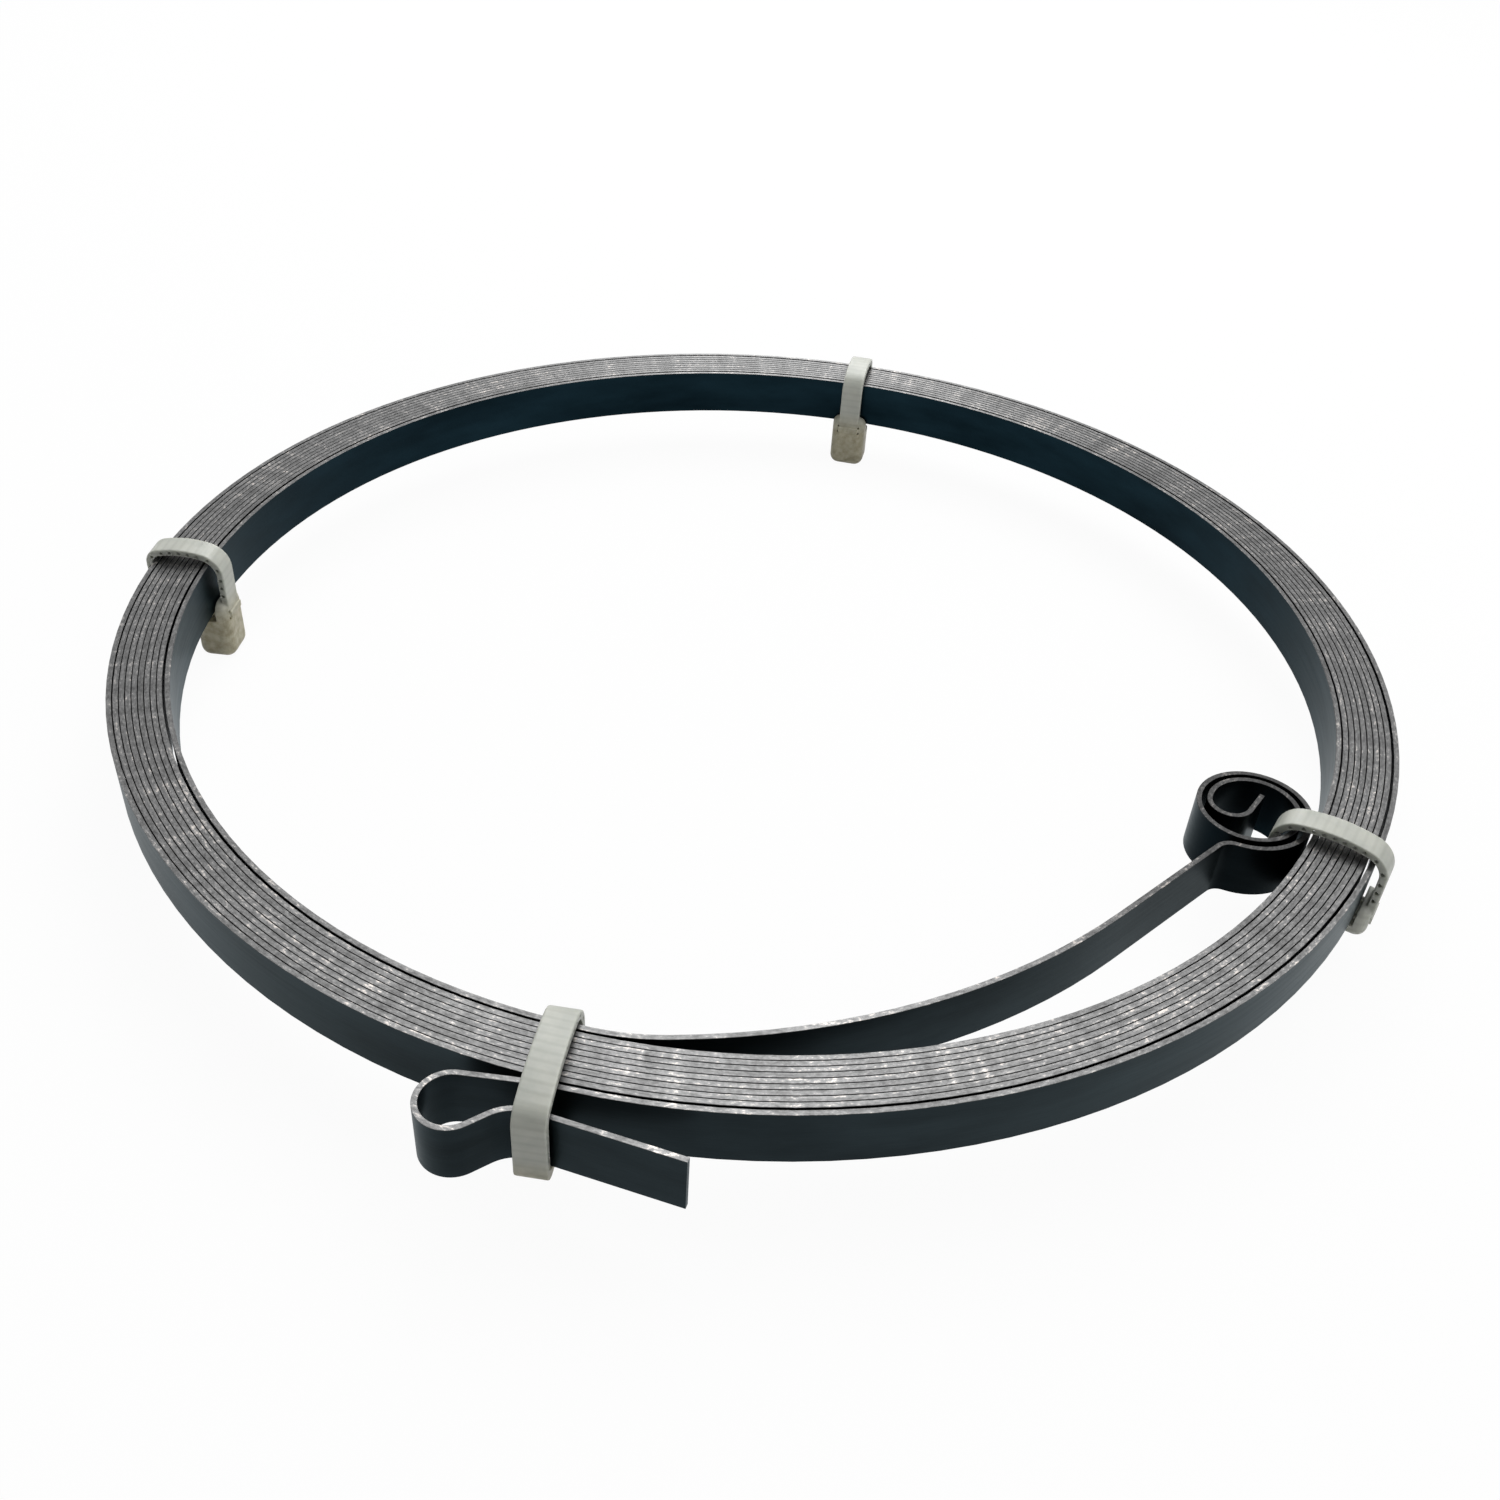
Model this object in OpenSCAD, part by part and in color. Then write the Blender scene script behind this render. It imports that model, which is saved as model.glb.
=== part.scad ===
// Spiral power spring of a recoil starter. One blued steel strip is wound into a ring, with a hook at its
// outer end and a scroll at its inner end, and four nylon cable ties hold it wound.
// Millimetres. The coil's axis is Z, and the lower edge of the strip lies at z = 0.

/* [Strip] */
// Width of the strip, along the coil's axis
strip_w = 7.15; // [6:0.05:12]
// Thickness of the strip
strip_t = 0.6; // [0.4:0.05:0.8]

/* [Coil] */
// Radius of the outermost turn at the seam, to the middle of the strip
coil_r = 84.75; // [75:0.25:95]
// Number of full turns
turns = 10; // [7:1:12]
// Air between neighbouring turns at the seam
seam_gap = 0.12; // [0.08:0.02:0.2]
// Air between neighbouring turns on the side across from the seam
far_gap = 0.2; // [0.1:0.02:0.3]
// Extra air beside the outermost turn and beside the innermost turn
end_slack = 0.2; // [0.05:0.05:0.4]
// Direction of the seam, where both ends of the strip leave the coil
seam_angle = -100; // [-110:1:-90]

/* [Outer hook] */
// Radius of the slight bend that leads the strip off the coil
lead_r = 50; // [30:1:80]
// Angle of that bend
lead_bend = 6.2; // [4:0.1:8]
// Straight run from that bend to the hook
lead_l = 5.1; // [3:0.1:9]
// Radius of the hook, to the middle of the strip
hook_r = 3.3; // [2.5:0.1:4.5]
// Angle through which the hook turns
hook_bend = 220; // [210:1:225]
// Straight run from the hook to the bend that turns its free leg outward
pinch_l = 2.2; // [1.5:0.1:4]
// Radius of that outward bend
pinch_r = 4.8; // [3.5:0.1:7]
// Angle of that outward bend
pinch_bend = 52; // [45:1:60]
// Length of the free leg
leg_l = 15.7; // [8:0.1:20]

/* [Inner tail] */
// Radius of the bend that turns the tail inward off the coil
leave_r = 29; // [20:1:40]
// Angle of that bend
leave_bend = 15.8; // [12:0.2:18]
// How much wider the tail's long curve is than the innermost turn
tail_relax = 3.4; // [1:0.1:6]
// Angle of the tail's long curve
tail_bend = 38.2; // [34:0.1:41]
// Radius of the kink before the scroll
kink_r = 2.2; // [1.5:0.1:3]
// Angle of the kink
kink_bend = 65; // [58:1:70]

/* [Scroll] */
// Radius of the scroll's first bend, to the middle of the strip
scroll_r = 7.4; // [6.6:0.1:9]
// Angle of the first bend
scroll_bend = 112; // [105:1:118]
// Fall of the radius after the first bend
scroll_drop = 0.8; // [0.7:0.05:1]
// Fall of the radius after each half turn
scroll_step = 0.65; // [0.5:0.05:0.75]
// Radius of the turn-in at the end of the inner pass
curl_r = 2.5; // [2:0.1:3]
// Angle of the turn-in
curl_bend = 162; // [155:1:168]
// Length of the tongue at the strip's inner end
tongue_l = 3.7; // [2.5:0.1:4]
// Air between the scroll and the innermost turn
scroll_gap = 0.3; // [0.2:0.05:0.6]

/* [Cable ties] */
// Width of the strap
strap_w = 3.5; // [2.5:0.1:4.5]
// Thickness of the strap
strap_t = 1; // [0.8:0.05:1.3]
// Air between the strap and the strip
tie_gap = 0.25; // [0.15:0.05:0.4]
// Air between the head's side of the strap and the strip
root_gap = 0.9; // [0.6:0.05:1.2]
// Angle at which the strap rises over the turns
arch_angle = 13; // [8:1:18]
// Radius of the strap's bend beside the head
root_r = 3; // [2.6:0.1:3.2]
// Radius of the strap's upper bend away from the head
corner_r = 1.7; // [1.4:0.1:2.2]
// Distance between two teeth
tooth_pitch = 1.15; // [0.9:0.05:1.4]
// Depth of the notch between two teeth
tooth_depth = 0.35; // [0.2:0.05:0.45]
// Width of the head, along the strip
head_w = 5.9; // [5:0.1:7]
// Thickness of the head, across the strip
head_t = 5.2; // [4.4:0.1:6]
// Depth of the head below the strip's lower edge
head_drop = 7.8; // [5.5:0.1:8.5]
// Depth of the outer tie's head, which is the shallower one
outer_drop = 3.2; // [3.1:0.1:6]
// Height of the head above the strip's lower edge
head_rise = 1.3; // [1:0.1:2]
// Radius of the lower corners of the head
head_round = 2; // [1:0.1:2.4]
// Radius of the outer tie's lower corner away from the coil
outer_round = 3; // [2:0.1:3.2]
// Air around the strap in the head's slot
slot_gap = 0.2; // [0.1:0.05:0.3]
// How far the head of an inner tie reaches under the coil
inner_tuck = 3.2; // [1:0.1:3.6]
// How far the head of the outer tie reaches under the coil
outer_tuck = 3.4; // [2.5:0.1:3.6]
// Turn of the front tie away from the radial direction
front_tie_turn = 6; // [0:0.5:8]
// Direction of the back tie
back_tie_angle = 79.7; // [60:0.1:100]
// Direction of the left tie
left_tie_angle = 176.8; // [160:0.1:190]
// Air between the scroll's inner pass and the strap that runs through its eye
eye_gap = 1; // [0.7:0.1:1.4]
// Radius of the strap's bends at the scroll
eye_corner_r = 3; // [2.4:0.1:3.6]

/* [Hidden] */
$fn = 96;
STEEL = "#2b353a";
NYLON = "#d8d8ca";
// Reach of a cutting block past the face that it cuts
past = 1;
// How much smaller a reaching run of a bent strip is on each side, and how far it goes into its neighbours
hair = 0.001;
lap = 0.04;

// Spacing of the turns, from the middle of one strip to the middle of the next
seam_pitch = strip_t + seam_gap;
far_pitch = strip_t + far_gap;
// Radii at which turn j crosses the seam line, and the same line across from the seam
function seam_r(j) = coil_r - j*seam_pitch + (j == 0 ? end_slack : j == turns ? -end_slack : 0);
function far_r(j) = coil_r - seam_pitch/2 - j*far_pitch + (j == 0 ? end_slack : j == turns - 1 ? -end_slack : 0);
// Half turn k is one arc. Even ones run from the seam to the far side, odd ones back to the seam
function half_seam(k) = seam_r(ceil(k/2));
function half_far(k) = far_r(floor(k/2));
function half_r(k) = (half_seam(k) + half_far(k))/2;
function half_shift(k) = (half_seam(k) - half_far(k))/2;
// Distance from the coil's axis to half turn k, in direction a from the seam
function half_at(k, a) = half_shift(k)*cos(a) + sqrt(half_r(k)^2 - (half_shift(k)*sin(a))^2);
function outer_face(a) = half_at(sin(a) < 0 ? 1 : 0, a) + strip_t/2;
function inner_face(a) = half_at(2*turns - (sin(a) < 0 ? 1 : 2), a) - strip_t/2;

// A path is a list of runs. A bend is [radius, angle], left turns positive, and a straight is [0, length].
// A place on it is [x, y, heading]
function bend_centre(p, r, side) = [p[0] - side*r*sin(p[2]), p[1] + side*r*cos(p[2])];
function run_centre(p, run) = bend_centre(p, run[0], sign(run[1]));
function bend_end(c, r, side, heading) = [c[0] + side*r*sin(heading), c[1] - side*r*cos(heading), heading];
function run_end(p, run) =
    run[0] == 0
        ? [p[0] + run[1]*cos(p[2]), p[1] + run[1]*sin(p[2]), p[2]]
        : bend_end(run_centre(p, run), run[0], sign(run[1]), p[2] + run[1]);
// Angle that a length takes up on a bend
function turn_of(length, r) = length/r*180/PI;
function walk(p, path, n, i = 0) = i == n ? p : walk(run_end(p, path[i]), path, n, i + 1);

// The outer hook leaves the coil clockwise from the seam
hook_start = [seam_r(0), 0, -90];
hook_path = [
    [lead_r, lead_bend],
    [0, lead_l],
    [hook_r, hook_bend],
    [0, pinch_l],
    [pinch_r, -pinch_bend],
    [0, leg_l]
];
pinch_run = 4;
pinch_c = run_centre(walk(hook_start, hook_path, pinch_run), hook_path[pinch_run]);
pinch_angle = atan2(pinch_c[1], pinch_c[0]);
// Outer face of the free leg where the front tie crosses it
pinch_face = norm(pinch_c) - sqrt((pinch_r - strip_t/2)^2 - (strap_w/2)^2);

// The tail leaves the coil counter-clockwise from the seam, and its straight run lays the scroll on the coil
tail_start = [seam_r(turns), 0, 90];
tail_r = seam_r(turns) + tail_relax;
scroll_r1 = scroll_r - scroll_drop;
scroll_r2 = scroll_r1 - scroll_step;
scroll_r3 = scroll_r2 - scroll_step;
// Angles of the scroll's half turns, the last of which ends where the strip turns in
half_turns = [173, 186, 164];
function tail_path(reach) = [
    [leave_r, leave_bend],
    [tail_r, tail_bend],
    [0, reach],
    [kink_r, -kink_bend],
    [scroll_r, scroll_bend],
    [scroll_r1, half_turns[0]],
    [scroll_r2, half_turns[1]],
    [scroll_r3, half_turns[2]],
    [curl_r, curl_bend],
    [0, tongue_l]
];
tail_reach_run = 2;
scroll_run = 4;
second_pass_run = 6;
function run_middle(path, n) = run_centre(walk(tail_start, path, n), path[n]);
scroll_c0 = run_middle(tail_path(0), scroll_run);
tail_heading = walk(tail_start, tail_path(0), tail_reach_run)[2];
tail_way = [cos(tail_heading), sin(tail_heading)];
scroll_along = scroll_c0*tail_way;
// Length of the straight run that puts the scroll's centre at distance d from the coil's axis
function reach_for(d) = sqrt(scroll_along^2 - scroll_c0*scroll_c0 + d^2) - scroll_along;
function scroll_seat(a) = inner_face(a) - scroll_gap - strip_t/2 - scroll_r;
function scroll_angle(reach) = let (c = scroll_c0 + reach*tail_way) atan2(c[1], c[0]);
first_reach = reach_for(scroll_seat(0));
tail_reach = reach_for(scroll_seat(scroll_angle(first_reach)));
eye_angle = scroll_angle(tail_reach);
second_pass_c = run_middle(tail_path(tail_reach), second_pass_run);
// Inner face of the scroll's second pass where the right tie runs through the eye
eye_face = second_pass_c*[cos(eye_angle), sin(eye_angle)]
    + sqrt((scroll_r2 - strip_t/2)^2 - (strap_w/2)^2);

// Height of the strap's middle where it starts to arch over a corner of the strip, with half the air there
function seat_y(r, gap) = strip_w + r*cos(arch_angle)
    - sqrt((r - strap_t/2 - tie_gap/2)^2 - (r - strap_t/2 - gap)^2);
// Height of its middle under the strip, and the bend that clears the strip's lower corner by half the air
strap_low = -tie_gap - strap_t/2;
under_r = strap_t/2 + tie_gap*(sqrt(2) - 0.5)/(sqrt(2) - 1);
slot_low = strap_low - strap_t/2 - slot_gap;
slot_high = strap_low + strap_t/2 + slot_gap;

// Bends and straights laid end to end. Every second one is a hair smaller and reaches into its neighbours
module at_run_end(run) {
    if (run[0] == 0)
        translate([run[1], 0, 0]) children();
    else
        translate([0, sign(run[1])*run[0], 0])
            rotate([0, 0, run[1]])
                translate([0, -sign(run[1])*run[0], 0]) children();
}

module run_solid(run, thick, wide, before, after) {
    if (run[0] == 0)
        translate([-before, -thick/2, 0]) cube([before + run[1] + after, thick, wide]);
    else
        mirror([0, run[1] < 0 ? 1 : 0, 0])
            translate([0, run[0], 0])
                rotate([0, 0, -90 - turn_of(before, run[0])])
                    rotate_extrude(angle = abs(run[1]) + turn_of(before + after, run[0]))
                        translate([run[0] - thick/2, 0]) square([thick, wide]);
}

module strip_along(path, thick, wide, teeth = false, i = 0) {
    last = i == len(path) - 1;
    reaching = (i + 1) % 2;
    inset = reaching*hair;
    difference() {
        translate([0, 0, inset])
            run_solid(path[i], thick - 2*inset, wide - 2*inset, reaching*lap, last ? 0 : reaching*lap);
        if (teeth)
            run_teeth(path[i], thick, wide);
    }
    if (!last)
        at_run_end(path[i]) strip_along(path, thick, wide, teeth, i + 1);
}

// Notches across the right-hand face of a run, which is the face that the strap turns to the strip
module run_teeth(run, thick, wide) {
    inner_l = run[0] == 0 ? run[1] : abs(run[1])*PI/180*(run[0] - thick/2);
    count = floor(inner_l/tooth_pitch);
    for (n = [0 : 1 : count - 1])
        at_run_end([run[0], run[1]*(n + 0.5)/count])
            translate([-tooth_pitch/4, -thick/2, -past])
                linear_extrude(wide + 2*past)
                    polygon([[0, -tooth_depth], [tooth_pitch/2, -tooth_depth], [tooth_pitch/2, tooth_depth], [0, 0]]);
}

module coil() {
    for (k = [0 : 2*turns - 1])
        translate([half_shift(k), 0, 0])
            rotate([0, 0, k % 2*180])
                rotate_extrude(angle = 180)
                    translate([half_r(k) - strip_t/2, 0]) square([strip_t, strip_w]);
}

module spring_strip() {
    color(STEEL) rotate([0, 0, seam_angle]) {
        coil();
        translate([hook_start[0], 0, 0]) rotate([0, 0, hook_start[2]])
            strip_along(hook_path, strip_t, strip_w);
        translate([tail_start[0], 0, 0]) rotate([0, 0, tail_start[2]])
            strip_along(tail_path(tail_reach), strip_t, strip_w);
    }
}

// Outline of a head with its two lower corners rounded
module head_outline(wide, drop, rise, first_r, last_r) {
    translate([0, first_r - drop]) square([wide - last_r, drop - first_r + rise]);
    translate([first_r, last_r - drop]) square([wide - first_r, drop - last_r + rise]);
    translate([first_r, -drop]) square([wide - first_r - last_r, drop + rise]);
    translate([first_r, first_r - drop]) circle(first_r);
    translate([wide - last_r, last_r - drop]) circle(last_r);
}

// Section of a tie: x runs from the head's side of what it binds to the far side, and y runs up
module tie_head(tuck, drop, free_r) {
    free_side = tuck - head_t;
    difference() {
        intersection() {
            translate([free_side - past, 0, 0]) rotate([90, 0, 90]) linear_extrude(head_t + 2*past)
                translate([-head_w/2, 0]) head_outline(head_w, drop, head_rise, head_round, head_round);
            translate([free_side, head_w/2 + past, 0]) rotate([90, 0, 0]) linear_extrude(head_w + 2*past)
                head_outline(head_t, drop, head_rise + past, free_r, head_round);
        }
        // Room for what the tie binds
        translate([-tie_gap, -head_w, slot_low])
            cube([tuck + tie_gap + past, 2*head_w, head_rise - slot_low + past]);
        // Slot for the strap's cut end
        translate([free_side - past, -strap_w/2 - slot_gap, slot_low])
            cube([head_t + 2*past, strap_w + 2*slot_gap, slot_high - slot_low]);
    }
}

module tie(depth, tuck, drop, free_r, far_gap, far_corner) {
    rise_x = -root_gap - strap_t/2;
    far_x = depth + far_gap + strap_t/2;
    flat = 1 - sin(arch_angle);
    arch_r = (far_x - rise_x - (root_r + far_corner)*flat)/(2*sin(arch_angle));
    arch_y = max(seat_y(root_r, root_gap), seat_y(far_corner, far_gap));
    root_y = head_rise - strap_t;
    path = [
        [0, arch_y - root_r*cos(arch_angle) - root_y],
        [root_r, arch_angle - 90],
        [arch_r, -2*arch_angle],
        [far_corner, arch_angle - 90],
        [0, arch_y - far_corner*cos(arch_angle) - strap_low - under_r],
        [under_r, -90],
        [0, far_x - under_r + head_t - tuck + slot_gap]
    ];
    tie_head(tuck, drop, free_r);
    translate([rise_x, strap_w/2, root_y]) rotate([90, 0, 0]) rotate([0, 0, 90])
        strip_along(path, strap_t, strap_w, teeth = true);
}

// Ties with the head inside the ring, and the one with its head outside
module inner_tie(a, outer, turn = 0) {
    room = head_w/2*tan(turn);
    depth = outer - inner_face(a) + 2*room;
    color(NYLON) rotate([0, 0, seam_angle + a])
        translate([inner_face(a) - room + depth/2, 0, 0]) rotate([0, 0, turn]) translate([-depth/2, 0, 0])
            tie(depth, inner_tuck, head_drop, head_round, tie_gap, corner_r);
}

module outer_tie(a, inner) {
    color(NYLON) rotate([0, 0, seam_angle + a])
        translate([outer_face(a), 0, 0]) rotate([0, 0, 180])
            tie(outer_face(a) - inner, outer_tuck, outer_drop, outer_round, eye_gap, eye_corner_r);
}

module cable_tie_front() inner_tie(pinch_angle, pinch_face, front_tie_turn);
module cable_tie_back() inner_tie(back_tie_angle - seam_angle, outer_face(back_tie_angle - seam_angle));
module cable_tie_left() inner_tie(left_tie_angle - seam_angle, outer_face(left_tie_angle - seam_angle));
module cable_tie_right() outer_tie(eye_angle, eye_face);

spring_strip();
cable_tie_front();
cable_tie_back();
cable_tie_left();
cable_tie_right();
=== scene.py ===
# A spiral power spring: blued steel strip wound into a ring, with a hook outside and a scroll inside,
# held wound by four nylon cable ties, on a pale floor.
import math

import bpy
from mathutils import Euler, Matrix, Vector


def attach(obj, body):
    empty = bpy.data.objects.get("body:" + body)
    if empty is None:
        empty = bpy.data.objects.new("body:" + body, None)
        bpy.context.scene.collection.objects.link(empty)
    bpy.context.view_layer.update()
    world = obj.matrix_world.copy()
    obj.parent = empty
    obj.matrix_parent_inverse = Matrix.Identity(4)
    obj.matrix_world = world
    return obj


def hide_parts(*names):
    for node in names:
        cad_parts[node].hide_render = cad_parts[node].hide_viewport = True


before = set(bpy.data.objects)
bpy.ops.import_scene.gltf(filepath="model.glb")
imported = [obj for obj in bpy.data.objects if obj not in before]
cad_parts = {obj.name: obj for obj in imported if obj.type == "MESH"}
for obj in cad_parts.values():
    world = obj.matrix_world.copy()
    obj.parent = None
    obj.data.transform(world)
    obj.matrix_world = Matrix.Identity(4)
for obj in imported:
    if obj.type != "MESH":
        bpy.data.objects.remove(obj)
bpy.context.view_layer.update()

MM = 0.001

# Strip and coil, in millimetres and degrees
STRIP_W = 7.15
STRIP_T = 0.6
BURR = 0.03
EDGE_ROUND = 0.03
COIL_R = 84.75
TURNS = 10
SEAM_GAP = 0.12
FAR_GAP = 0.2
SEAM_PITCH = STRIP_T + SEAM_GAP
FAR_PITCH = STRIP_T + FAR_GAP
END_SLACK = 0.2
SEAM_ANGLE = -100

# Outer hook, from the coil to its cut end
LEAD = (50, 6.2)
LEAD_L = 5.1
HOOK = (3.3, 220)
PINCH_L = 2.2
PINCH = (4.8, 52)
LEG_L = 15.7

# Inner tail and scroll
LEAVE = (29, 15.8)
TAIL_RELAX = 3.4
TAIL_BEND = 38.2
KINK = (2.2, 65)
SCROLL = (7.4, 112)
SCROLL_HALVES = ((6.6, 173), (5.95, 186), (5.3, 164))
CURL = (2.5, 162)
TONGUE_L = 3.7
SCROLL_GAP = 0.3
# Painted shade darkens the strip around the scroll, fading out between these two distances from it
SHADE_NEAR_SCROLL = 7
SHADE_FAR_SCROLL = 55

# Cable ties
STRAP_W = 3.5
STRAP_T = 1.0
STRAP_ROUND = 0.15
TIE_GAP = 0.25
ROOT_GAP = 0.9
ARCH_ANGLE = 13
ROOT_R = 3
CORNER_R = 1.7
TOOTH_PITCH = 1.15
TOOTH_DEPTH = 0.5
TOOTH_R = 0.4
RAIL_W = 0.6
WINDOW_TOP = 0.74
WINDOW_R = 0.37
WEDGE_SPREAD = 1.2
MOULD_GRAIN = 0.095
HEAD_W = 5.9
HEAD_T = 5.2
HEAD_DROP = 7.8
OUTER_DROP = 3.2
HEAD_RISE = 1.3
HEAD_ROUND = 1.5
OUTER_ROUND = 1.3
SLOT_GAP = 0.2
INNER_TUCK = 3.2
OUTER_TUCK = 3.4
FRONT_TURN = 6
BACK_ANGLE = 79.7
LEFT_ANGLE = 176.8
# Heights over which the ties turn to yellowish soil with painted shade
SOIL_SHADE_TOP = 2.5
SOIL_SHADE_FULL = -1.5
EYE_GAP = 1
EYE_CORNER_R = 3
UNDER_R = STRAP_T / 2 + TIE_GAP * (math.sqrt(2) - 0.5) / (math.sqrt(2) - 1)


# Places along the strip

def seam_r(turn):
    slack = END_SLACK if turn == 0 else -END_SLACK if turn == TURNS else 0
    return COIL_R - turn * SEAM_PITCH + slack


def far_r(turn):
    slack = END_SLACK if turn == 0 else -END_SLACK if turn == TURNS - 1 else 0
    return COIL_R - SEAM_PITCH / 2 - turn * FAR_PITCH + slack


def half_turn(k):
    """Radius of half turn k, and how far its centre is shifted along the seam."""
    at_seam = seam_r((k + 1) // 2)
    at_far = far_r(k // 2)
    return (at_seam + at_far) / 2, (at_seam - at_far) / 2


def distance_at(k, angle):
    """Distance from the coil's axis to half turn k, in a direction from the seam."""
    radius, shift = half_turn(k)
    a = math.radians(angle)
    return shift * math.cos(a) + math.sqrt(radius ** 2 - (shift * math.sin(a)) ** 2)


def beyond_far(angle):
    return math.sin(math.radians(angle)) < 0


def outer_face(angle):
    return distance_at(1 if beyond_far(angle) else 0, angle) + STRIP_T / 2


def inner_face(angle):
    return distance_at(2 * TURNS - (1 if beyond_far(angle) else 2), angle) - STRIP_T / 2


# A run is (radius, angle) for a bend, left turns positive, or (0, length) for a straight

def bend_centre(place, run):
    x, y, heading = place
    side = math.copysign(run[0], run[1])
    a = math.radians(heading)
    return x - side * math.sin(a), y + side * math.cos(a)


def after(place, run):
    x, y, heading = place
    if run[0] == 0:
        a = math.radians(heading)
        return x + run[1] * math.cos(a), y + run[1] * math.sin(a), heading
    cx, cy = bend_centre(place, run)
    side = math.copysign(run[0], run[1])
    turned = heading + run[1]
    a = math.radians(turned)
    return cx + side * math.sin(a), cy - side * math.cos(a), turned


def walk(place, runs):
    for run in runs:
        place = after(place, run)
    return place


HOOK_START = (seam_r(0), 0, -90)
HOOK_RUNS = [LEAD, (0, LEAD_L), HOOK, (0, PINCH_L), (PINCH[0], -PINCH[1]), (0, LEG_L)]
TAIL_START = (seam_r(TURNS), 0, 90)


def tail_runs(reach):
    return [
        LEAVE,
        (seam_r(TURNS) + TAIL_RELAX, TAIL_BEND),
        (0, reach),
        (KINK[0], -KINK[1]),
        SCROLL,
        *SCROLL_HALVES,
        CURL,
        (0, TONGUE_L),
    ]


def tail_centre(reach, run):
    runs = tail_runs(reach)
    return Vector(bend_centre(walk(TAIL_START, runs[:run]), runs[run]))


def direction(angle):
    return Vector((math.cos(math.radians(angle)), math.sin(math.radians(angle))))


def angle_of(v):
    return math.degrees(math.atan2(v[1], v[0]))


def scroll_reach():
    """Length of the tail's straight run that lays the scroll against the innermost turn."""
    start = tail_centre(0, 4)
    way = direction(walk(TAIL_START, tail_runs(0)[:2])[2])
    along = start.dot(way)
    angle = 0
    for _ in range(2):
        seat = inner_face(angle) - SCROLL_GAP - STRIP_T / 2 - SCROLL[0]
        reach = math.sqrt(along ** 2 - start.length_squared + seat ** 2) - along
        angle = angle_of(start + reach * way)
    return reach, angle


TAIL_REACH, EYE_ANGLE = scroll_reach()
PINCH_CENTRE = Vector(bend_centre(walk(HOOK_START, HOOK_RUNS[:4]), HOOK_RUNS[4]))
PINCH_ANGLE = angle_of(PINCH_CENTRE)
PINCH_FACE = PINCH_CENTRE.length - math.sqrt((PINCH[0] - STRIP_T / 2) ** 2 - (STRAP_W / 2) ** 2)
EYE_FACE = tail_centre(TAIL_REACH, 6).dot(direction(EYE_ANGLE)) + math.sqrt(
    (SCROLL_HALVES[1][0] - STRIP_T / 2) ** 2 - (STRAP_W / 2) ** 2
)


# Modelling

def edit_mode():
    bpy.ops.object.mode_set(mode="EDIT")


def object_mode():
    bpy.ops.object.mode_set(mode="OBJECT")


def nothing_selected():
    if bpy.context.object and bpy.context.object.mode != "OBJECT":
        object_mode()
    bpy.ops.object.select_all(action="DESELECT")


def activate(piece):
    nothing_selected()
    piece.select_set(True)
    bpy.context.view_layer.objects.active = piece


def sweep(name, runs, thick, wide, corner, bend_step, corner_steps):
    """A strip from the origin along +X and on along the runs, its width along Z."""
    nothing_selected()
    bpy.ops.mesh.primitive_plane_add(size=1)
    piece = bpy.context.object
    piece.name = name
    edit_mode()
    bpy.ops.mesh.select_mode(type="VERT")
    bpy.ops.transform.resize(value=(wide * MM, thick * MM, 1))
    bpy.ops.mesh.bevel(offset=corner * MM, segments=corner_steps, affect="VERTICES")
    bpy.ops.transform.rotate(value=math.pi / 2, orient_axis="Y", center_override=(0, 0, 0))
    bpy.ops.mesh.delete(type="ONLY_FACE")
    bpy.ops.mesh.select_all(action="SELECT")
    place = (0, 0, 0)
    for run in runs:
        if run[0] == 0:
            way = direction(place[2]) * run[1] * MM
            bpy.ops.mesh.extrude_region_move(TRANSFORM_OT_translate={"value": (way.x, way.y, 0)})
        else:
            cx, cy = bend_centre(place, run)
            bpy.ops.mesh.spin(
                steps=max(2, math.ceil(abs(run[1]) / bend_step(run[0]))),
                angle=-math.radians(run[1]),
                center=(cx * MM, cy * MM, 0),
                axis=(0, 0, 1),
            )
        place = after(place, run)
    bpy.ops.mesh.select_all(action="SELECT")
    bpy.ops.mesh.fill_holes(sides=0)
    bpy.ops.mesh.normals_make_consistent(inside=False)
    object_mode()
    return piece


def put(piece, matrix):
    activate(piece)
    piece.matrix_world = matrix
    bpy.ops.object.transform_apply(location=True, rotation=True, scale=True)


def turn_z(angle):
    return Matrix.Rotation(math.radians(angle), 4, "Z")


def move(x=0.0, y=0.0, z=0.0):
    return Matrix.Translation((x * MM, y * MM, z * MM))


def coil_step(radius):
    return 2.5 if radius > 20 else 6


def make_spring():
    hook_end = walk(HOOK_START, HOOK_RUNS)
    hook_back = [(r, a if r == 0 else -a) for r, a in reversed(HOOK_RUNS)]
    turns = [(half_turn(k)[0], 180) for k in range(2 * TURNS)]
    path = hook_back + turns + tail_runs(TAIL_REACH)
    spring = sweep("spring_turns", path, STRIP_T + BURR, STRIP_W, EDGE_ROUND, coil_step, 1)
    start = move(hook_end[0], hook_end[1], STRIP_W / 2) @ turn_z(hook_end[2] + 180)
    put(spring, turn_z(SEAM_ANGLE) @ start)
    bpy.ops.object.shade_smooth_by_angle(angle=math.radians(35))
    return spring


def block(name, low, high):
    """A box between two corners."""
    nothing_selected()
    bpy.ops.mesh.primitive_cube_add(size=1)
    piece = bpy.context.object
    piece.name = name
    edit_mode()
    bpy.ops.transform.resize(value=[(b - a) * MM for a, b in zip(low, high)])
    bpy.ops.transform.translate(value=[(a + b) / 2 * MM for a, b in zip(low, high)])
    object_mode()
    return piece


def apply_modifier(piece, kind, **settings):
    activate(piece)
    modifier = piece.modifiers.new(kind, kind)
    for key, value in settings.items():
        setattr(modifier, key, value)
    bpy.ops.object.modifier_apply(modifier=modifier.name)


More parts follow.
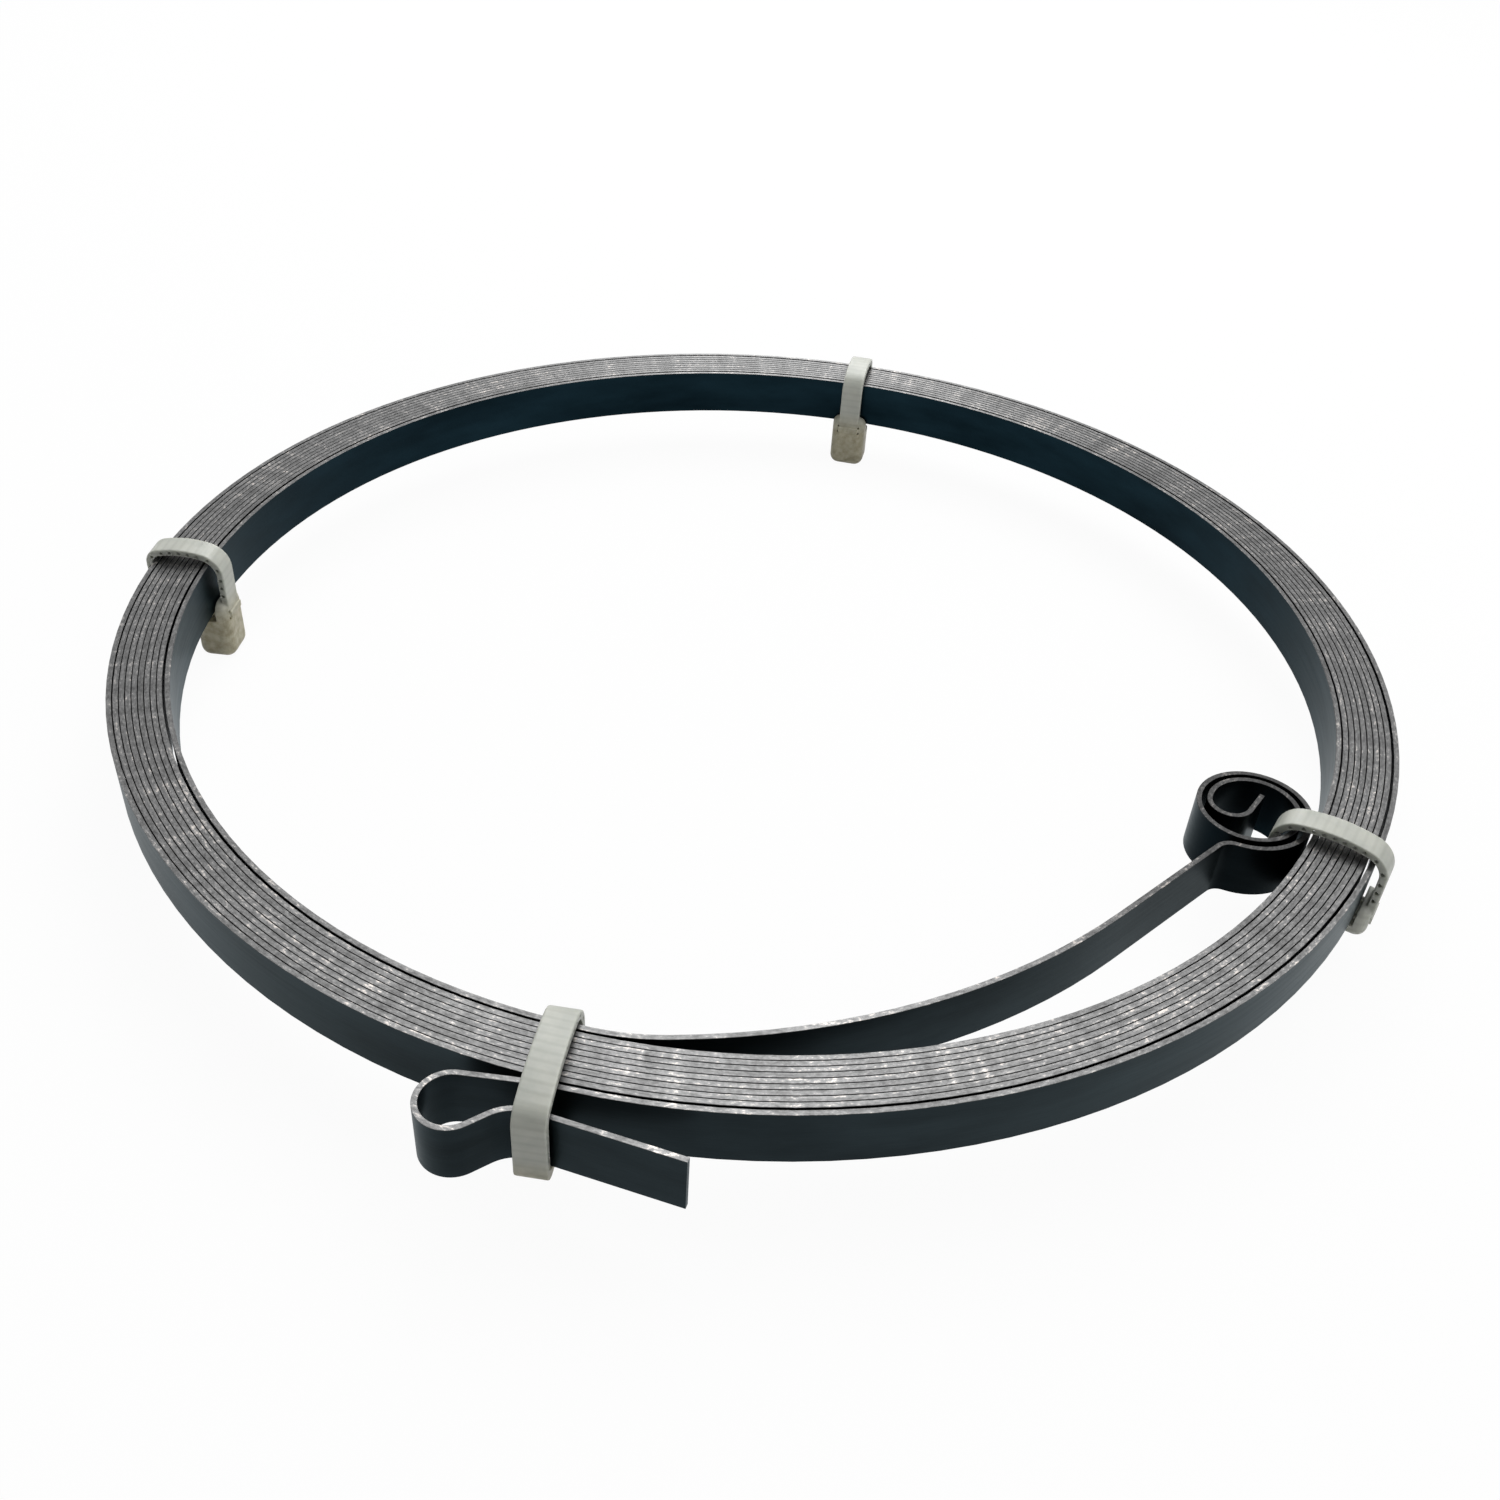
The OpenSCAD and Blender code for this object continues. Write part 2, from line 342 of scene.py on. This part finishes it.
def cut(piece, cutter):
    apply_modifier(piece, "BOOLEAN", operation="DIFFERENCE", solver="EXACT", object=cutter)
    bpy.data.objects.remove(cutter)


def join(piece, *others):
    activate(piece)
    for other in others:
        other.select_set(True)
    bpy.ops.object.join()


def strap_step(radius):
    return 3 if radius > 8 else 9


def seat_height(radius, gap):
    """Height of the strap's middle where it starts to arch over a corner of the strip."""
    clear = (radius - STRAP_T / 2 - TIE_GAP / 2) ** 2 - (radius - STRAP_T / 2 - gap) ** 2
    return STRIP_W + radius * math.cos(math.radians(ARCH_ANGLE)) - math.sqrt(clear)


def strap_notches(path, radius, depth, width):
    """Wedges along the face that the strap turns to the strip, their tips at a depth in the strap."""
    nothing_selected()
    bpy.ops.mesh.primitive_cylinder_add(vertices=3, radius=radius * MM, depth=width * MM)
    wedge = bpy.context.object
    edit_mode()
    bpy.ops.transform.translate(value=(0, (depth - radius - STRAP_T / 2) * MM, 0))
    bpy.ops.transform.resize(value=(WEDGE_SPREAD, 1, 1))
    object_mode()
    notches = []
    place = (0, 0, 0)
    for run in path:
        length = run[1] if run[0] == 0 else math.radians(abs(run[1])) * (run[0] - STRAP_T / 2)
        count = int(length / TOOTH_PITCH)
        for n in range(count):
            x, y, heading = after(place, (run[0], run[1] * (n + 0.5) / count))
            notch = wedge.copy()
            notch.data = wedge.data.copy()
            bpy.context.scene.collection.objects.link(notch)
            notch.matrix_world = move(x, y) @ turn_z(heading)
            notches.append(notch)
        place = after(place, run)
    bpy.data.objects.remove(wedge)
    join(*notches)
    return notches[0]


def tie_head(tuck, drop, rounding):
    free_side = tuck - HEAD_T
    strap_low = -TIE_GAP - STRAP_T
    slot_low = strap_low - SLOT_GAP
    head = block("head", (free_side, -HEAD_W / 2, -drop), (tuck, HEAD_W / 2, HEAD_RISE))
    edit_mode()
    bpy.ops.mesh.bevel(offset=rounding * MM, segments=6, affect="EDGES")
    object_mode()
    cut(head, block("room", (-TIE_GAP, -HEAD_W, slot_low), (tuck + 1, HEAD_W, HEAD_RISE + 1)))
    half = STRAP_W / 2 + SLOT_GAP
    cut(head, block("slot", (free_side - 1, -half, slot_low), (tuck + 1, half, SLOT_GAP - TIE_GAP)))
    return head


def make_tie(name, depth, tuck, drop, rounding, far_gap, far_corner):
    """A tie whose X runs from the head's side of what it binds to the far side."""
    rise_x = -ROOT_GAP - STRAP_T / 2
    far_x = depth + far_gap + STRAP_T / 2
    arch = math.radians(ARCH_ANGLE)
    arch_r = (far_x - rise_x - (ROOT_R + far_corner) * (1 - math.sin(arch))) / (2 * math.sin(arch))
    arch_z = max(seat_height(ROOT_R, ROOT_GAP), seat_height(far_corner, far_gap))
    root_z = HEAD_RISE - STRAP_T
    under_z = -TIE_GAP - STRAP_T / 2
    path = [
        (0, arch_z - ROOT_R * math.cos(arch) - root_z),
        (ROOT_R, ARCH_ANGLE - 90),
        (arch_r, -2 * ARCH_ANGLE),
        (far_corner, ARCH_ANGLE - 90),
        (0, arch_z - far_corner * math.cos(arch) - under_z - UNDER_R),
        (UNDER_R, -90),
        (0, far_x - UNDER_R + HEAD_T - tuck + SLOT_GAP),
    ]
    strap = sweep(name, path, STRAP_T, STRAP_W, STRAP_ROUND, strap_step, 2)
    cut(strap, strap_notches(path, TOOTH_R, TOOTH_DEPTH, STRAP_W - 2 * RAIL_W))
    cut(strap, strap_notches(path, WINDOW_R, WINDOW_TOP, STRAP_W + 1))
    put(strap, move(rise_x, 0, root_z) @ Matrix.Rotation(math.pi / 2, 4, "X") @ turn_z(90))
    join(strap, tie_head(tuck, drop, rounding))
    apply_modifier(strap, "REMESH", mode="VOXEL", voxel_size=MOULD_GRAIN * MM)
    apply_modifier(strap, "SMOOTH", factor=0.5, iterations=1)
    bpy.ops.object.shade_smooth()
    return strap


def inner_tie(name, angle, outer, turn=0):
    room = HEAD_W / 2 * math.tan(math.radians(turn))
    inner = inner_face(angle) - room
    depth = outer - inner + room
    tie = make_tie(name, depth, INNER_TUCK, HEAD_DROP, HEAD_ROUND, TIE_GAP, CORNER_R)
    put(tie, turn_z(SEAM_ANGLE + angle) @ move(inner + depth / 2) @ turn_z(turn) @ move(-depth / 2))
    return tie


def outer_tie(name, angle, inner):
    depth = outer_face(angle) - inner
    tie = make_tie(name, depth, OUTER_TUCK, OUTER_DROP, OUTER_ROUND, EYE_GAP, EYE_CORNER_R)
    put(tie, turn_z(SEAM_ANGLE + angle) @ move(outer_face(angle)) @ turn_z(180))
    return tie


# Materials

def node(tree, kind, x, y, **settings):
    made = tree.nodes.new(kind)
    made.location = (x, y)
    for key, value in settings.items():
        setattr(made, key, value)
    return made


def link(tree, source, target):
    tree.links.new(source, target)


def blank_material(name):
    material = bpy.data.materials.new(name)
    material.use_nodes = True
    tree = material.node_tree
    shader = tree.nodes["Principled BSDF"]
    shader.location = (600, 0)
    tree.nodes["Material Output"].location = (900, 0)
    return material, tree, shader


def polar_coordinates(tree):
    """Length along the turns, distance from the coil's axis and height, in metres, as one vector."""
    place = node(tree, "ShaderNodeTexCoord", -1800, 0)
    parts = node(tree, "ShaderNodeSeparateXYZ", -1600, 0)
    angle = node(tree, "ShaderNodeMath", -1400, 150, operation="ARCTAN2")
    arc = node(tree, "ShaderNodeMath", -1200, 150, operation="MULTIPLY")
    arc.inputs[1].default_value = COIL_R * MM
    flat = node(tree, "ShaderNodeVectorMath", -1400, -50, operation="MULTIPLY")
    flat.inputs[1].default_value = (1, 1, 0)
    reach = node(tree, "ShaderNodeVectorMath", -1200, -50, operation="LENGTH")
    joined = node(tree, "ShaderNodeCombineXYZ", -1000, 0)
    link(tree, place.outputs["Object"], parts.inputs[0])
    link(tree, parts.outputs["Y"], angle.inputs[0])
    link(tree, parts.outputs["X"], angle.inputs[1])
    link(tree, angle.outputs[0], arc.inputs[0])
    link(tree, place.outputs["Object"], flat.inputs[0])
    link(tree, flat.outputs[0], reach.inputs[0])
    link(tree, arc.outputs[0], joined.inputs["X"])
    link(tree, reach.outputs["Value"], joined.inputs["Y"])
    link(tree, parts.outputs["Z"], joined.inputs["Z"])
    return place.outputs["Object"], joined.outputs[0]


def noise(tree, vector, x, y, scale, stretch=(1, 1, 1), detail=4.0, rough=0.6):
    scaled = node(tree, "ShaderNodeMapping", x - 200, y)
    scaled.inputs["Scale"].default_value = stretch
    made = node(tree, "ShaderNodeTexNoise", x, y)
    made.inputs["Scale"].default_value = scale
    made.inputs["Detail"].default_value = detail
    made.inputs["Roughness"].default_value = rough
    link(tree, vector, scaled.inputs["Vector"])
    link(tree, scaled.outputs[0], made.inputs["Vector"])
    return made.outputs["Fac"]


def ramp(tree, source, x, y, *stops):
    made = node(tree, "ShaderNodeValToRGB", x, y)
    elements = made.color_ramp.elements
    while len(elements) < len(stops):
        elements.new(0.5)
    for element, (position, colour) in zip(elements, stops):
        element.position = position
        element.color = (*colour, 1) if len(colour) == 3 else colour
    link(tree, source, made.inputs["Fac"])
    return made.outputs["Color"]


def grey(v):
    return (v, v, v)


def spread(tree, source, x, y, low, high):
    made = node(tree, "ShaderNodeMapRange", x, y)
    made.inputs["To Min"].default_value = low
    made.inputs["To Max"].default_value = high
    link(tree, source, made.inputs["Value"])
    return made.outputs["Result"]


def mix(tree, kind, factor, a, b, x, y):
    made = node(tree, "ShaderNodeMix", x, y, data_type="RGBA", blend_type=kind)
    for socket, value in ((made.inputs["Factor"], factor), (made.inputs["A"], a), (made.inputs["B"], b)):
        if isinstance(value, bpy.types.NodeSocket):
            link(tree, value, socket)
        else:
            socket.default_value = value
    return made.outputs["Result"]


def bump(tree, shader, height, x, y, distance, strength=1.0):
    made = node(tree, "ShaderNodeBump", x, y)
    made.inputs["Distance"].default_value = distance
    made.inputs["Strength"].default_value = strength
    link(tree, height, made.inputs["Height"])
    link(tree, made.outputs[0], shader.inputs["Normal"])


def combine(tree, kind, a, b, x, y):
    made = node(tree, "ShaderNodeMath", x, y, operation=kind)
    for socket, value in zip(made.inputs, (a, b)):
        if isinstance(value, bpy.types.NodeSocket):
            link(tree, value, socket)
        else:
            socket.default_value = value
    return made.outputs[0]


def scroll_painted_shade(tree, place, along, least, x, y):
    """Painted shade: the least value at the scroll, rising to 1 along the tail, and 1 on the turns, which
    get none.
    """
    eye = tail_centre(TAIL_REACH, 4)
    spot = turn_z(SEAM_ANGLE) @ Vector((eye.x * MM, eye.y * MM, STRIP_W / 2 * MM))
    far = node(tree, "ShaderNodeVectorMath", x - 400, y, operation="DISTANCE")
    far.inputs[1].default_value = spot
    link(tree, place, far.inputs[0])
    level = spread(tree, far.outputs["Value"], x - 200, y, least, 1)
    level.node.inputs["From Min"].default_value = SHADE_NEAR_SCROLL * MM
    level.node.inputs["From Max"].default_value = SHADE_FAR_SCROLL * MM
    parts = node(tree, "ShaderNodeSeparateXYZ", x - 400, y + 200)
    link(tree, along, parts.inputs[0])
    innermost = (inner_face(EYE_ANGLE) - SCROLL_GAP / 2) * MM
    wound = combine(tree, "GREATER_THAN", parts.outputs["Y"], innermost, x - 200, y + 200)
    return combine(tree, "MAXIMUM", level, wound, x, y)


def blued_face():
    material, tree, shader = blank_material("blued_face")
    place, along = polar_coordinates(tree)
    # Painted shade: the side turned to the coil's axis is painted darker and bluer than the outer side
    away = node(tree, "ShaderNodeVectorMath", -900, 700, operation="DOT_PRODUCT")
    out = node(tree, "ShaderNodeVectorMath", -1100, 700, operation="NORMALIZE")
    link(tree, place, out.inputs[0])
    link(tree, out.outputs[0], away.inputs[0])
    link(tree, node(tree, "ShaderNodeNewGeometry", -1100, 500).outputs["Normal"], away.inputs[1])
    side = spread(tree, away.outputs["Value"], -700, 700, 0, 1)
    side.node.inputs["From Min"].default_value = -0.4
    side.node.inputs["From Max"].default_value = 0.4
    tone = mix(tree, "MIX", side, (0.0055, 0.0145, 0.0205, 1), (0.0145, 0.0215, 0.0250, 1), -500, 600)
    cloud = noise(tree, along, -600, 300, 1, stretch=(45, 45, 160), detail=4)
    shade = ramp(tree, cloud, -300, 300, (0.3, grey(0.6)), (0.7, grey(1.4)))
    colour = mix(tree, "MULTIPLY", 1.0, tone, shade, 0, 400)
    # Painted shade, darker at the scroll and along the tail near it
    colour = mix(tree, "MULTIPLY", 1.0, colour, scroll_painted_shade(tree, place, along, 0.35, 0, 700), 200, 400)
    link(tree, colour, shader.inputs["Base Color"])
    streak = noise(tree, along, -600, -100, 1, stretch=(60, 900, 2200), detail=3)
    link(tree, spread(tree, streak, -300, -100, 0.26, 0.42), shader.inputs["Roughness"])
    shader.inputs["Metallic"].default_value = 1.0
    shader.inputs["Specular Tint"].default_value = (0.78, 0.83, 0.85, 1)
    grain = noise(tree, along, -600, -400, 1, stretch=(300, 1500, 4000), detail=2)
    bump(tree, shader, grain, 300, -300, 0.00002, 0.3)
    return material


def slit_edge():
    material, tree, shader = blank_material("slit_edge")
    place, along = polar_coordinates(tree)
    bands = noise(tree, along, -700, 500, 1, stretch=(380, 60, 0), detail=2)
    turns = noise(tree, along, -700, 250, 1, stretch=(40, 1400, 0), detail=1)
    flecks = noise(tree, along, -700, 0, 1, stretch=(1400, 2800, 0), detail=3, rough=0.7)
    tone = combine(tree, "MULTIPLY_ADD", bands, 1.1, -450, 400)
    link(tree, turns, tone.node.inputs[2])
    mixed = combine(tree, "MULTIPLY_ADD", tone, 0.45, -250, 350)
    link(tree, flecks, mixed.node.inputs[2])
    level = combine(tree, "SUBTRACT", mixed, 0.47, -150, 350)
    glint = (0.40, 0.37, 0.345)
    steps = (0.3, grey(0.065)), (0.5, grey(0.11)), (0.62, grey(0.15)), (0.76, glint)
    colour = ramp(tree, level, -50, 300, *steps)
    # Painted shade, darker at the scroll and along the tail near it
    colour = mix(tree, "MULTIPLY", 1.0, colour, scroll_painted_shade(tree, place, along, 0.4, 0, 700), 200, 400)
    link(tree, colour, shader.inputs["Base Color"])
    link(tree, spread(tree, flecks, -50, 0, 0.3, 0.5), shader.inputs["Roughness"])
    shader.inputs["Metallic"].default_value = 1.0
    bump(tree, shader, flecks, 300, -300, 0.00003, 0.5)
    return material


def nylon(name, soil_and_shade):
    """Milky nylon. The shade of the teeth seen through it is painted as faint darker bands, and towards
    the bottom it turns to yellowish soil with painted shade.
    """
    material, tree, shader = blank_material(name)
    place, along = polar_coordinates(tree)
    parts = node(tree, "ShaderNodeSeparateXYZ", -1600, -200)
    link(tree, along, parts.inputs[0])
    facing = node(tree, "ShaderNodeSeparateXYZ", -1600, -500)
    link(tree, node(tree, "ShaderNodeNewGeometry", -1800, -500).outputs["Normal"], facing.inputs[0])
    level = combine(tree, "ABSOLUTE", facing.outputs["Z"], 0, -1400, -500)
    flat = combine(tree, "GREATER_THAN", level, 0.5, -1200, -500)
    across = combine(tree, "MULTIPLY", parts.outputs["Y"], flat, -1000, -350)
    upright = combine(tree, "SUBTRACT", 1, flat, -1000, -550)
    run = combine(tree, "MULTIPLY_ADD", parts.outputs["Z"], upright, -800, -450)
    link(tree, across, run.node.inputs[2])
    phase = combine(tree, "MULTIPLY", run, math.tau / (TOOTH_PITCH * MM), -600, -450)
    wave = combine(tree, "SINE", phase, 0, -450, -450)
    cloud = noise(tree, place, -900, 300, 350, detail=3)
    clean = ramp(tree, cloud, -600, 300, (0.3, (0.39, 0.405, 0.365)), (0.7, (0.47, 0.48, 0.43)))
    # Painted shade of the teeth seen through the nylon, as faint darker bands
    band = spread(tree, wave, -300, -300, 0.0, 0.16)
    banded = mix(tree, "MULTIPLY", band, clean, (0.45, 0.45, 0.42, 1), -300, 200)
    # Yellowish soil and painted shade, darker towards the bottom
    low = node(tree, "ShaderNodeMapRange", -900, -100)
    low.inputs["From Min"].default_value = SOIL_SHADE_TOP * MM
    low.inputs["From Max"].default_value = SOIL_SHADE_FULL * MM
    low.inputs["To Max"].default_value = soil_and_shade
    link(tree, parts.outputs["Z"], low.inputs["Value"])
    specks = noise(tree, place, -900, -700, 900, detail=4)
    dirt_and_shade = ramp(tree, specks, -600, -700, (0.35, (0.27, 0.245, 0.155)), (0.65, (0.44, 0.41, 0.30)))
    colour = mix(tree, "MIX", low.outputs["Result"], banded, dirt_and_shade, 0, 200)
    link(tree, colour, shader.inputs["Base Color"])
    shader.inputs["Roughness"].default_value = 0.42
    shader.inputs["Subsurface Weight"].default_value = 0.6
    shader.inputs["Subsurface Radius"].default_value = (1.0, 1.0, 0.9)
    shader.inputs["Subsurface Scale"].default_value = 0.9 * MM
    bump(tree, shader, specks, 300, -300, 0.00003, 0.3)
    return material


def give(piece, *materials):
    piece.data.materials.clear()
    for material in materials:
        piece.data.materials.append(material)


BLUED_FACE = blued_face()
SLIT_EDGE = slit_edge()
NYLON = nylon("milky_nylon", 0.1)
SOILED_SHADED_NYLON = nylon("soiled_shaded_nylon", 1.0)

# The spring
spring = make_spring()
give(spring, BLUED_FACE, SLIT_EDGE)
activate(spring)
edit_mode()
bpy.ops.mesh.select_mode(type="FACE")
bpy.ops.mesh.select_all(action="DESELECT")
object_mode()
for face in spring.data.polygons:
    face.select = abs(face.normal.z) > 0.25
edit_mode()
spring.active_material_index = 1
bpy.ops.object.material_slot_assign()
object_mode()
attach(spring, "root")
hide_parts("spring_strip")

# The ties
LEFT = LEFT_ANGLE - SEAM_ANGLE
BACK = BACK_ANGLE - SEAM_ANGLE
TIES = {
    "cable_tie_front": (inner_tie("front_tie", PINCH_ANGLE, PINCH_FACE, FRONT_TURN), SOILED_SHADED_NYLON),
    "cable_tie_back": (inner_tie("back_tie", BACK, outer_face(BACK)), SOILED_SHADED_NYLON),
    "cable_tie_left": (inner_tie("left_tie", LEFT, outer_face(LEFT)), SOILED_SHADED_NYLON),
    "cable_tie_right": (outer_tie("right_tie", EYE_ANGLE, EYE_FACE), NYLON),
}
for solid, (tie, material) in TIES.items():
    give(tie, material)
    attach(tie, "root")
    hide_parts(solid)

# Floor, white where it is looked at and with the rest left for the shadow
FLOOR_GLOW = 0.95
FLOOR_MIRRORED = 0.6
nothing_selected()
bpy.ops.mesh.primitive_plane_add(size=6, location=(0, 0, -HEAD_DROP * MM))
floor = bpy.context.object
floor.name = "floor"
material, tree, shader = blank_material("pale_floor")
shader.inputs["Base Color"].default_value = (0.8, 0.8, 0.8, 1)
shader.inputs["Roughness"].default_value = 0.9
shader.inputs["Specular IOR Level"].default_value = 0.0
rays = node(tree, "ShaderNodeLightPath", 0, 400)
seen = rays.outputs["Is Camera Ray"], rays.outputs["Is Transmission Ray"]
shown = combine(tree, "MAXIMUM", *seen, 200, 400)
mirrored = combine(tree, "MULTIPLY", rays.outputs["Is Glossy Ray"], FLOOR_MIRRORED, 200, 600)
either = combine(tree, "MAXIMUM", shown, mirrored, 400, 400)
part = combine(tree, "MULTIPLY", either, FLOOR_GLOW, 600, 400)
glow = node(tree, "ShaderNodeEmission", 600, 250)
blendin = node(tree, "ShaderNodeMixShader", 800, 200)
link(tree, part, blendin.inputs["Fac"])
link(tree, shader.outputs[0], blendin.inputs[1])
link(tree, glow.outputs[0], blendin.inputs[2])
link(tree, blendin.outputs[0], tree.nodes["Material Output"].inputs["Surface"])
give(floor, material)

# World and lamps
world = bpy.data.worlds.new("studio")
world.use_nodes = True
bpy.context.scene.world = world
tree = world.node_tree
background = tree.nodes["Background"]
background.inputs["Color"].default_value = (1, 1, 1, 1)
rays = node(tree, "ShaderNodeLightPath", -600, 0)
shown = combine(tree, "MAXIMUM", rays.outputs["Is Camera Ray"], rays.outputs["Is Glossy Ray"], -500, 200)
shown = combine(tree, "MAXIMUM", shown, rays.outputs["Is Transmission Ray"], -400, 200)
level = node(tree, "ShaderNodeMapRange", -300, 0)
level.inputs["To Min"].default_value = 0.25
level.inputs["To Max"].default_value = 1.0
link(tree, shown, level.inputs["Value"])
link(tree, level.outputs["Result"], background.inputs["Strength"])


def softbox(name, place, target, size, power):
    lamp = bpy.data.lights.new(name, "AREA")
    lamp.shape = "RECTANGLE"
    lamp.size, lamp.size_y = size
    lamp.energy = power
    thing = bpy.data.objects.new(name, lamp)
    bpy.context.scene.collection.objects.link(thing)
    thing.location = place
    thing.rotation_euler = (Vector(target) - Vector(place)).to_track_quat("-Z", "Y").to_euler()


softbox("top_light", (0.1, 0.25, 0.6), (0, 0, 0), (0.8, 0.5), 3.8)
softbox("side_light", (0.5, -0.3, 0.4), (0, 0, 0), (0.5, 0.5), 0.7)
softbox("back_light", (0.0, 0.55, 0.42), (0, 0, 0), (0.24, 0.5), 1.6)

# Camera
CAMERA_PLACE = (1.0 * MM, -177.92 * MM, 124.53 * MM)
CAMERA_TURN = Euler((math.radians(51.57), math.radians(0.21), math.radians(4.06)), "ZYX")
view = bpy.data.cameras.new("camera")
view.lens = 37.0
view.sensor_width = 36
view.clip_start = 0.01
camera = bpy.data.objects.new("camera", view)
bpy.context.scene.collection.objects.link(camera)
camera.matrix_world = Matrix.Translation(CAMERA_PLACE) @ CAMERA_TURN.to_matrix().to_4x4()
bpy.context.scene.camera = camera
bpy.context.scene.view_settings.view_transform = "Standard"
